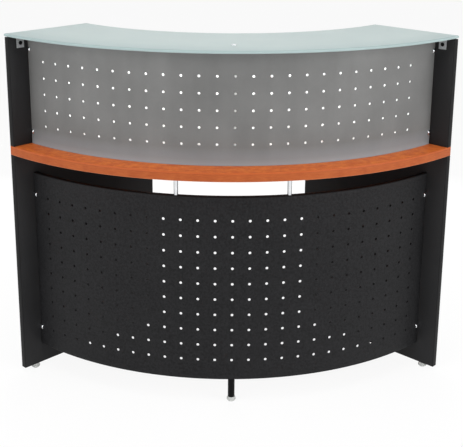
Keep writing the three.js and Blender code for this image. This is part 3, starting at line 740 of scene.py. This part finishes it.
def lower_screen_mesh():
    sheet = perforated(*LOWER_SCREEN, LOWER_COLUMNS, LOWER_ROWS, LOWER_HOLE, LOWER_RETURNS)
    low, high = LOWER_SCREEN
    bores = [moved(rod(LEG_SPIGOT[0] + BORE_GAP, low - CUT_PAST, low + CUT_PAST), on_arc(0, LEG_AT))]
    for side in ENDS.values():
        bore = rod(HANGER_SPIGOT[0] + BORE_GAP, high - CUT_PAST, high + CUT_PAST)
        bores.append(moved(bore, on_arc(side * HANGER_ANGLE, HANGER_AT)))
    return carve(sheet, bores)


LINER = 0.002
LINER_ENDS = (UPPER_COLUMNS[0] - COLUMN_PITCH / 2, UPPER_COLUMNS[-1] + 1.5 * COLUMN_PITCH)  # as arc lengths


def liner_mesh():
    low, high = (length / SCREEN_RADIUS for length in LINER_ENDS)
    outer = SCREEN_RADIUS - SHEET - SEAT_GAP
    half = (high - low) / 2
    sheet = sector(outer - LINER, outer, UPPER_SCREEN, half, ease=0.0004, end_ease=0.0002, inset=0.0003)
    return moved(sheet, on_arc((low + high) / 2, 0) @ Matrix.Translation((0, -AXIS_Y, 0)))


piece("lower_screen_sheet", lower_screen_mesh(), ["lower_screen"])
upper_screen_mesh = perforated(*UPPER_SCREEN, UPPER_COLUMNS, UPPER_ROWS, UPPER_HOLE)
piece("upper_screen_sheet", upper_screen_mesh, ["upper_screen"])
piece("upper_screen_backing", liner_mesh(), ["upper_screen_liner"])


# Worktop, its edge band, and the glass

BAND = 0.002
DOWEL_RADII = (0.95, 0.918)
DOWEL_RADIUS = 0.004
DOWEL_DEPTH = 0.03  # into each board
ANGLE_RADII = {"front": 0.78, "rear": 0.48}
ANGLE = {"down": 0.036, "along": 0.036, "width": 0.03, "thick": 0.0025, "inset": 0.014}
ANGLE_SCREW_IN = BOARD_FACE + ANGLE["along"] - ANGLE["inset"]
SCREW_RADIUS = 0.0022
SCREW_LENGTH = 0.014
HANGER_SHANK = (0.003, 0.014)
MIDDLE_SPIGOT = (0.004, 0.015)
CAP_SHANK = 0.004
CAP_BORE = CAP_SHANK + BORE_GAP
BORE_END = 0.001  # how far a blind bore runs past the tip in it


def up_bore(radius, mouth, depth):
    """A blind bore upwards from its mouth."""
    return rod(radius + BORE_GAP, mouth - CUT_PAST, mouth + depth + BORE_END)


def worktop_mesh():
    low, high = WORKTOP
    outer = FRONT_RADIUS - BAND - SEAT_GAP
    board = sector(REAR_RADIUS, outer, WORKTOP, END_ANGLE, ease=0.0008, end_ease=0.0004, inset=0.0004)
    bores = []
    for side in ENDS.values():
        for radius in DOWEL_RADII:
            dowel = rod(DOWEL_RADIUS + BORE_GAP, low - CUT_PAST, high + CUT_PAST)
            bores.append(moved(dowel, in_end(side, BOARD / 2, radius)))
        for radius in ANGLE_RADII.values():
            screw = up_bore(SCREW_RADIUS, low, SCREW_LENGTH - ANGLE["thick"])
            bores.append(moved(screw, in_end(side, ANGLE_SCREW_IN, radius)))
        hanger = up_bore(HANGER_SHANK[0], low, HANGER_SHANK[1])
        bores.append(moved(hanger, on_arc(side * HANGER_ANGLE, HANGER_AT)))
    spigot = rod(MIDDLE_SPIGOT[0] + BORE_GAP, high - MIDDLE_SPIGOT[1] - BORE_END, high + CUT_PAST)
    bores.append(moved(spigot, on_arc(0, MIDDLE_POST_AT)))
    return carve(board, bores)


piece("worktop_board", worktop_mesh(), ["worktop"])
band_mesh = sector(
    FRONT_RADIUS - BAND, FRONT_RADIUS, WORKTOP, END_ANGLE, ease=0.0007, end_ease=0.0004, inset=0.0003,
)
piece("worktop_band", band_mesh, ["worktop_edge_band"])


def glass_mesh():
    half = END_ANGLE + GLASS_OVERHANG / FRONT_RADIUS
    pane = sector(GLASS_REAR_RADIUS, FRONT_RADIUS, GLASS, half, ease=0.003, end_ease=0.002, inset=0.0012)
    hole = rod(CAP_BORE, GLASS[0] - CUT_PAST, GLASS[1] + CUT_PAST)
    return carve(pane, [moved(hole, on_arc(0, MIDDLE_POST_AT))])


piece("glass_counter_pane", glass_mesh(), ["glass_counter"])


# Boards at the two ends, with banded edges

CORE_EASE = 0.0003
STRIP_EASE = 0.0004


def eased_box(low, high, ease):
    """A closed box with its edges eased."""
    solid = bmesh.new()
    bmesh.ops.create_cube(solid, size=1)
    size = [b - a for a, b in zip(low, high)]
    middle = [(a + b) / 2 for a, b in zip(low, high)]
    placing = Matrix.Translation(middle) @ Matrix.Diagonal((*size, 1))
    bmesh.ops.transform(solid, matrix=placing, verts=solid.verts)
    bmesh.ops.bevel(solid, geom=solid.edges[:], offset=ease, segments=2, affect="EDGES", profile=0.5)
    mesh = bpy.data.meshes.new("eased")
    solid.to_mesh(mesh)
    solid.free()
    return mesh


def board_mesh(side, rear_radius, span, bores):
    """A board in an end frame: a laminated core with an edge strip at its front and its rear."""
    low, high = span
    core_front, core_rear = -FRONT_RADIUS + EDGE_STRIP, -rear_radius - EDGE_STRIP
    core = carve(eased_box((0, core_front, low), (BOARD, core_rear, high), CORE_EASE), bores)
    front = eased_box((0, -FRONT_RADIUS, low), (BOARD, core_front, high), STRIP_EASE)
    rear = eased_box((0, core_rear, low), (BOARD, -rear_radius, high), STRIP_EASE)
    return moved(joined([core, front, rear]), in_end(side))


STUD_MIDDLE = 0.008  # along a stud, where the sheet's middle lies on its axis
STUD_AT = math.sqrt(SHEET_RADIUS**2 - (BOARD + STUD_MIDDLE) ** 2)
STUD_SHANK = (0.003, 0.01)
STUD_HEAD = (0.007, 0.016)
LOWER_STUDS = {"bottom": LOWER_SCREEN[0] + 0.063, "top": LOWER_SCREEN[1] - 0.072}
UPPER_STUDS = {"bottom": UPPER_SCREEN[0] + 0.039, "top": UPPER_SCREEN[1] - 0.039}
GLASS_BRACKET = {"down": 0.034, "along": 0.026, "width": 0.026, "thick": 0.003, "inset": 0.015}
GLASS_BRACKET_AT = 0.926
GLIDE_RADII = {"front": 0.92, "rear": 0.44}
INSERT_RADIUS = 0.0063
INSERT_DEPTH = 0.03


def face_bore(radius, depth, at_radius, z):
    """A bore into a board's inner face, in the board's own frame."""
    bore = rod(radius + BORE_GAP, -depth - BORE_END, CUT_PAST)
    return moved(bore, Matrix.Translation((BOARD, -at_radius, z)) @ INWARDS)


def upright_bore(radius, low, high, at_radius):
    """A bore along a board, in the board's own frame."""
    return moved(rod(radius + BORE_GAP, low, high), Matrix.Translation((BOARD / 2, -at_radius, 0)))


def screw_height(corner, bracket):
    """The height of a bracket's upright screw."""
    return corner - bracket["down"] + bracket["inset"]


for label, side in ENDS.items():
    bores = [face_bore(*STUD_SHANK, STUD_AT, z) for z in LOWER_STUDS.values()]
    low, high = PANEL
    depth = SCREW_LENGTH - ANGLE["thick"]
    for radius in ANGLE_RADII.values():
        bores.append(face_bore(SCREW_RADIUS, depth, radius, screw_height(high, ANGLE)))
    for radius in DOWEL_RADII:
        bores.append(upright_bore(DOWEL_RADIUS, high - DOWEL_DEPTH - BORE_END, high + CUT_PAST, radius))
    for radius in GLIDE_RADII.values():
        bores.append(upright_bore(INSERT_RADIUS, low - CUT_PAST, low + INSERT_DEPTH + BORE_END, radius))
    board = board_mesh(side, PANEL_REAR_RADIUS, PANEL, bores)
    piece(f"{label}_side_board", board, [f"{label}_side_panel"])
    bores = [face_bore(*STUD_SHANK, STUD_AT, z) for z in UPPER_STUDS.values()]
    low, high = POST
    depth = SCREW_LENGTH - GLASS_BRACKET["thick"]
    bores.append(face_bore(SCREW_RADIUS, depth, GLASS_BRACKET_AT, screw_height(high, GLASS_BRACKET)))
    for radius in DOWEL_RADII:
        bores.append(upright_bore(DOWEL_RADIUS, low - CUT_PAST, low + DOWEL_DEPTH + BORE_END, radius))
    board = board_mesh(side, POST_REAR_RADIUS, POST, bores)
    piece(f"{label}_post_board", board, [f"{label}_counter_post"])


# Fittings

SLOT_HALF = SHEET / 2 + 0.0007
SLOT_FLOOR = SHEET_EDGE_GAP - 0.001
SCREW_TIP = (0.0006, 0.003)
CROSS_HEAD = (0.0042, 0.0026)
HEXAGON_HEAD = (0.0062, 0.0026)
PAD_RADIUS = 0.009
PAD_IN = 0.011  # from the board's face
HANGER_RADIUS = 0.0065


def stud_mesh():
    """A slotted stud along +Z, its shank below, with a rounded nose."""
    (shank, length), (head, nose) = STUD_SHANK, STUD_HEAD
    outline = [
        (0, -length), (shank - 0.0004, -length), (shank, -length + 0.0005), (shank, 0),
        (head, 0, 0.0004), (head, nose, 0.0022), (0, nose),
    ]
    across = head + CUT_PAST
    slot = block((-across, -SLOT_HALF, SLOT_FLOOR), (across, SLOT_HALF, nose + CUT_PAST))
    return carve(lathe(rounded(outline, False)), [slot])


def bracket_mesh(bracket):
    """A bent plate: one leaf down an upright face, one along +X, with a screw hole in each leaf."""
    down, along, width, thick = (bracket[key] for key in ("down", "along", "width", "thick"))
    inset = bracket["inset"]
    corners = [
        (0, 0, thick * 1.1), (0, -down), (thick, -down),
        (thick, -thick, thick * 0.4), (along, -thick), (along, 0),
    ]
    outline = rounded(corners, True)
    size = len(outline)
    points = [(x, y, z) for y in (-width / 2, width / 2) for x, z in outline]
    faces = [tuple(range(size)), tuple(range(size, 2 * size))]
    faces += [(i, (i + 1) % size, size + (i + 1) % size, size + i) for i in range(size)]
    plate = to_mesh("plate", points, faces)
    places = (Matrix.Translation((0, 0, -down + inset)) @ INWARDS, Matrix.Translation((along - inset, 0, 0)))
    return carve(plate, [moved(rod(SCREW_RADIUS + BORE_GAP, -CUT_PAST, CUT_PAST), place) for place in places])


def screw_mesh(head, height, recess):
    """A screw along -Z with a domed head, and a cross or hexagon recess."""
    tip, taper = SCREW_TIP
    outline = [
        (0, -SCREW_LENGTH), (tip, -SCREW_LENGTH), (SCREW_RADIUS, taper - SCREW_LENGTH), (SCREW_RADIUS, 0),
        (head, 0, 0.0002), (head, height * 0.45, height * 0.25), (head * 0.62, height * 0.95, head * 0.3),
        (0, height),
    ]
    body = lathe(rounded(outline, False), 40)
    if recess == "cross":
        arm, half = head * 0.62, head * 0.13
        for x, y in ((arm, half), (half, arm)):
            body = carve(body, [block((-x, -y, height * 0.45), (x, y, CUT_PAST))])
        return body
    return carve(body, [rod(head * 0.5, height * 0.35, CUT_PAST, 6)])


for label, side in ENDS.items():
    for screen, studs in (("lower", LOWER_STUDS), ("upper", UPPER_STUDS)):
        for where, z in studs.items():
            node = f"{label}_{screen}_screen_stud_{where}"
            mesh = moved(stud_mesh(), in_end(side, BOARD_FACE, STUD_AT, z) @ INWARDS)
            piece(f"{node}_turned", mesh, [node])
    for where, radius in ANGLE_RADII.items():
        node = f"{label}_{where}_angle_bracket"
        mesh = moved(bracket_mesh(ANGLE), in_end(side, BOARD_FACE, radius, PANEL[1]))
        piece(f"{node}_bent", mesh, [node], bevel=0.0003)
        node = f"{label}_{where}_angle_panel_screw"
        face = BOARD_FACE + ANGLE["thick"] + SEAT_GAP
        place = in_end(side, face, radius, screw_height(PANEL[1], ANGLE))
        piece(f"{node}_turned", moved(screw_mesh(*CROSS_HEAD, "cross"), place @ INWARDS), [node])
        node = f"{label}_{where}_angle_worktop_screw"
        down = Matrix.Rotation(math.pi, 4, "X")
        place = in_end(side, ANGLE_SCREW_IN, radius, PANEL[1] - ANGLE["thick"] - SEAT_GAP)
        piece(f"{node}_turned", moved(screw_mesh(*CROSS_HEAD, "cross"), place @ down), [node])
    node = f"{label}_glass_bracket"
    mesh = moved(bracket_mesh(GLASS_BRACKET), in_end(side, BOARD_FACE, GLASS_BRACKET_AT, POST[1]))
    piece(f"{node}_bent", mesh, [node], bevel=0.0004)
    node = f"{label}_glass_bracket_screw"
    face = BOARD_FACE + GLASS_BRACKET["thick"] + SEAT_GAP
    place = in_end(side, face, GLASS_BRACKET_AT, screw_height(POST[1], GLASS_BRACKET))
    piece(f"{node}_turned", moved(screw_mesh(*HEXAGON_HEAD, "hexagon"), place @ INWARDS), [node])
    node = f"{label}_glass_pad"
    low, high = heights(node)
    outline = [(0, low), (PAD_RADIUS, low, 0.0003), (PAD_RADIUS, high, 0.0005), (0, high)]
    pad = lathe(rounded(outline, False))
    piece(f"{node}_turned", moved(pad, in_end(side, BOARD_FACE + PAD_IN, GLASS_BRACKET_AT)), [node])
    node = f"{label}_hanger_rod"
    low, high = LOWER_SCREEN[1] + SEAT_GAP, PANEL[1]
    (spigot, below), (shank, above) = HANGER_SPIGOT, HANGER_SHANK
    tip, end = low - below, high + above
    outline = [
        (0, tip), (spigot, tip, 0.0004), (spigot, low), (HANGER_RADIUS, low, 0.0004),
        (HANGER_RADIUS, high, 0.0003), (shank, high), (shank, end, 0.0004), (0, end),
    ]
    hanger = moved(lathe(rounded(outline, False)), on_arc(side * HANGER_ANGLE, HANGER_AT))
    piece(f"{node}_turned", hanger, [node])


# Middle glass support

MIDDLE_FLANGE = (0.025, 0.005)
MIDDLE_SHAFT = 0.011
MIDDLE_HEAD = (0.02, 0.004)
CAP_BORE_FLOOR = GLASS[1] - 0.0307
CAP_RADIUS = 0.008
CAP_CROWN = 0.0055
MIDDLE = on_arc(0, MIDDLE_POST_AT)

low, high = POST
(spigot, depth), (flange, flange_thick), (head, head_thick) = MIDDLE_SPIGOT, MIDDLE_FLANGE, MIDDLE_HEAD
flange_top, head_foot = low + flange_thick, high - head_thick
outline = [
    (0, low - depth), (spigot, low - depth, 0.0006), (spigot, low), (flange, low, 0.0004),
    (flange, flange_top, 0.0016), (MIDDLE_SHAFT, flange_top, 0.002), (MIDDLE_SHAFT, head_foot, 0.002),
    (head, head_foot, 0.0012), (head, high, 0.0004), (CAP_BORE, high), (CAP_BORE, CAP_BORE_FLOOR),
    (0, CAP_BORE_FLOOR),
]
piece("centre_post_turned", moved(lathe(rounded(outline, False), 64), MIDDLE), ["centre_glass_post"])
low, high = heights("centre_glass_pad")
outline = rounded([(CAP_BORE, low), (head, low, 0.0003), (head, high, 0.0005), (CAP_BORE, high)], True)
piece("centre_pad_turned", moved(lathe(outline), MIDDLE), ["centre_glass_pad"])
low, high = heights("glass_cap_screw")
base = GLASS[1] + SEAT_GAP
outline = [
    (0, low), (CAP_SHANK - 0.0006, low), (CAP_SHANK, low + 0.0008), (CAP_SHANK, base),
    (CAP_RADIUS, base, 0.0003), (CAP_RADIUS, base + 0.0016, 0.0009), (CAP_CROWN, high - 0.0003, 0.003),
    (0, high),
]
piece("glass_cap_turned", moved(lathe(rounded(outline, False)), MIDDLE), ["glass_cap_screw"])

# Centre leg and levelling glides

STEM_BORE = 0.004 + BORE_GAP
STEM_ROOT = 0.0033
THREAD_DEPTH = 0.00065
THREAD_START = 0.0005  # the thread is shallower within these lengths of the stem's foot
THREAD_RUN_OUT = 0.0015  # and of its top
FOOT_SOLE = 0.0088
FOOT_WIDEST = (0.0147, 0.0062)
FOOT_TOP = 0.0116
FOOT_SOCKET = 0.008
LEG_RADIUS = 0.0105


def foot_mesh():
    """A moulded cup-shaped foot, narrower at its top, with a socket for its stem."""
    low, high = FOOT
    widest, up = FOOT_WIDEST
    outline = [
        (0, low), (FOOT_SOLE, low, 0.003), (widest, low + up, 0.003), (FOOT_TOP, high, 0.0012),
        (STEM_BORE, high, 0.0004), (STEM_BORE, high - FOOT_SOCKET), (0, high - FOOT_SOCKET),
    ]
    return lathe(rounded(outline, False, 6), 56)


def stem_mesh(pitch=0.00125, sides=24, rows_per_turn=4):
    """A threaded stem: its crests stay inside the plain stem's radius."""
    low, high = STEM
    rows = round((high - low) / pitch * rows_per_turn)
    points = []
    for k in range(rows + 1):
        z = low + (high - low) * k / rows
        for i in range(sides):
            turn = (z - low) / pitch - i / sides
            crest = abs((turn % 1) * 2 - 1)
            share = min(1.0, (high - z) / THREAD_RUN_OUT, (z - low) / THREAD_START + 0.3)
            radius = STEM_ROOT + THREAD_DEPTH * crest * share
            angle = i * math.tau / sides
            points.append((radius * math.cos(angle), radius * math.sin(angle), z))
    faces = [tuple(range(sides)), tuple(range(rows * sides, (rows + 1) * sides))]
    for k in range(rows):
        for i in range(sides):
            j = (i + 1) % sides
            faces.append((k * sides + i, k * sides + j, (k + 1) * sides + j, (k + 1) * sides + i))
    return to_mesh("stem", points, faces)


def add_glide(label, place):
    """A foot and its stem, which ride on the glide's own body."""
    body = f"{label}_glide"
    piece(f"{label}_foot_moulded", moved(foot_mesh(), place), [f"{label}_glide_foot"], body)
    piece(f"{label}_stem_threaded", moved(stem_mesh(), place), [f"{label}_glide_stem"], body)


for label, side in ENDS.items():
    for where, radius in GLIDE_RADII.items():
        place = in_end(side, BOARD / 2, radius)
        add_glide(f"{label}_{where}", place)
        node = f"{label}_{where}_glide_insert"
        low, high = heights(node)
        inner, outer = STEM_BORE, INSERT_RADIUS
        outline = [(inner, low, 0.0003), (outer, low, 0.0003), (outer, high), (inner, high)]
        piece(f"{node}_turned", moved(lathe(rounded(outline, True, 2)), place), [node])

low, top = PANEL[0], LOWER_SCREEN[0] - SEAT_GAP
bore_top = STEM[1] + BORE_END
spigot, tip = LEG_SPIGOT[0], top + LEG_SPIGOT[1]
outline = [
    (0, bore_top), (STEM_BORE, bore_top), (STEM_BORE, low), (LEG_RADIUS, low, 0.0008),
    (LEG_RADIUS, top, 0.0006), (spigot, top), (spigot, tip, 0.0005), (0, tip),
]
piece("centre_leg_turned", moved(lathe(rounded(outline, False)), on_arc(0, LEG_AT)), ["centre_leg"])
add_glide("centre", on_arc(0, LEG_AT))

# The CAD nodes that stay in sight take the same finishes
for name, node in frame["nodes"].items():
    node.data.materials.clear()
    node.data.materials.append(FINISHES[SLOT_OF[name]])

# Floor, world and lamps


def seen_directly(tree):
    """1 for rays that show the background, straight or by a reflection or through glass."""
    path = tree.nodes.new("ShaderNodeLightPath")
    total = path.outputs["Is Camera Ray"]
    for name in ("Is Glossy Ray", "Is Transmission Ray"):
        most = tree.nodes.new("ShaderNodeMath")
        most.operation = "MAXIMUM"
        tree.links.new(total, most.inputs[0])
        tree.links.new(path.outputs[name], most.inputs[1])
        total = most.outputs[0]
    return total


WHITE = (1, 1, 1, 1)
AMBIENT = 0.5
world = bpy.data.worlds.new("studio")
bpy.context.scene.world = world
world.use_nodes = True
tree = world.node_tree
ambient = tree.nodes["Background"]
ambient.inputs["Color"].default_value = WHITE
ambient.inputs["Strength"].default_value = AMBIENT
white = tree.nodes.new("ShaderNodeBackground")
white.inputs["Color"].default_value = WHITE
white.inputs["Strength"].default_value = 1.0
either = tree.nodes.new("ShaderNodeMixShader")
tree.links.new(seen_directly(tree), either.inputs[0])
tree.links.new(ambient.outputs[0], either.inputs[1])
tree.links.new(white.outputs[0], either.inputs[2])
tree.links.new(either.outputs[0], tree.nodes["World Output"].inputs["Surface"])

FLOOR_HALF = 12.0
FLOOR_COLOUR = (0.95, 0.95, 0.95, 1)
FLOOR_GLOW = 0.9  # how much of the floor that is seen is plain white, the rest lit
floor_corners = [(x * FLOOR_HALF, y * FLOOR_HALF, 0) for x, y in ((-1, -1), (1, -1), (1, 1), (-1, 1))]
floor_mesh = to_mesh("floor", floor_corners, [(0, 1, 2, 3)])
floor = bpy.data.objects.new("floor", floor_mesh)
bpy.context.scene.collection.objects.link(floor)
paint = bpy.data.materials.new("pale_floor")
paint.use_nodes = True
tree = paint.node_tree
tree.nodes.remove(tree.nodes["Principled BSDF"])
lit = tree.nodes.new("ShaderNodeBsdfDiffuse")
lit.inputs["Color"].default_value = FLOOR_COLOUR
bright = tree.nodes.new("ShaderNodeEmission")
bright.inputs["Strength"].default_value = 1.0
share = tree.nodes.new("ShaderNodeMath")
share.operation = "MULTIPLY"
share.inputs[1].default_value = FLOOR_GLOW
tree.links.new(seen_directly(tree), share.inputs[0])
blend = tree.nodes.new("ShaderNodeMixShader")
tree.links.new(share.outputs[0], blend.inputs[0])
tree.links.new(lit.outputs[0], blend.inputs[1])
tree.links.new(bright.outputs[0], blend.inputs[2])
tree.links.new(blend.outputs[0], tree.nodes["Material Output"].inputs["Surface"])
floor_mesh.materials.append(paint)


def lamp(name, place, target, size, power):
    """A soft lamp of a width and height at a place, facing a target."""
    data = bpy.data.lights.new(name, "AREA")
    data.shape = "RECTANGLE"
    data.size, data.size_y = size
    data.energy = power
    obj = bpy.data.objects.new(name, data)
    obj.location = place
    obj.rotation_euler = (Vector(target) - Vector(place)).to_track_quat("-Z", "Y").to_euler()
    bpy.context.scene.collection.objects.link(obj)


lamp("left", place=(-2.8, -2.4, 1.7), target=(0, -0.2, 0.7), size=(2.2, 2.2), power=60)
lamp("right", place=(2.9, -2.3, 1.6), target=(0, -0.2, 0.7), size=(2.4, 2.4), power=76)
lamp("top", place=(0, -0.6, 3.6), target=(0, 0, 0.8), size=(2.4, 2.4), power=40)
lamp("rear", place=(0, 2.2, 0.68), target=(0, 0, 0.9), size=(2.2, 0.8), power=33)

# Camera: the nearest fit to the photograph's edges with a shift that keeps the desk in the other views' frame

IMAGE_WIDTH, IMAGE_HEIGHT = 463, 447
FOCAL = 1000  # in pixels
CAMERA_RADIUS = 3.67087  # from the arc's axis
CAMERA_HEIGHT = 1.5950
CAMERA_TURN = math.radians(-1.0562)  # about the arc's axis
PITCH, HEADING, ROLL = 0.27350, 0.02245, 0.00800
AXIS_ROW = 149.42  # the picture's row that the lens's axis meets

camera_data = bpy.data.cameras.new("camera")
camera_data.sensor_width = 36.0
camera_data.lens = FOCAL * camera_data.sensor_width / IMAGE_WIDTH
camera_data.shift_y = (AXIS_ROW - IMAGE_HEIGHT / 2) / IMAGE_WIDTH
camera = bpy.data.objects.new("camera", camera_data)
bpy.context.scene.collection.objects.link(camera)
ahead = Vector((math.sin(HEADING) * math.cos(PITCH), math.cos(HEADING) * math.cos(PITCH), -math.sin(PITCH)))
level = Vector((math.cos(HEADING), -math.sin(HEADING), 0))
upright = level.cross(ahead)
right = math.cos(ROLL) * level + math.sin(ROLL) * upright
up = -math.sin(ROLL) * level + math.cos(ROLL) * upright
pose = Matrix((right, up, -ahead)).transposed().to_4x4()
pose.translation = polar(CAMERA_RADIUS, CAMERA_TURN, CAMERA_HEIGHT)
camera.matrix_world = pose
bpy.context.scene.camera = camera
bpy.context.scene.view_settings.view_transform = "Standard"
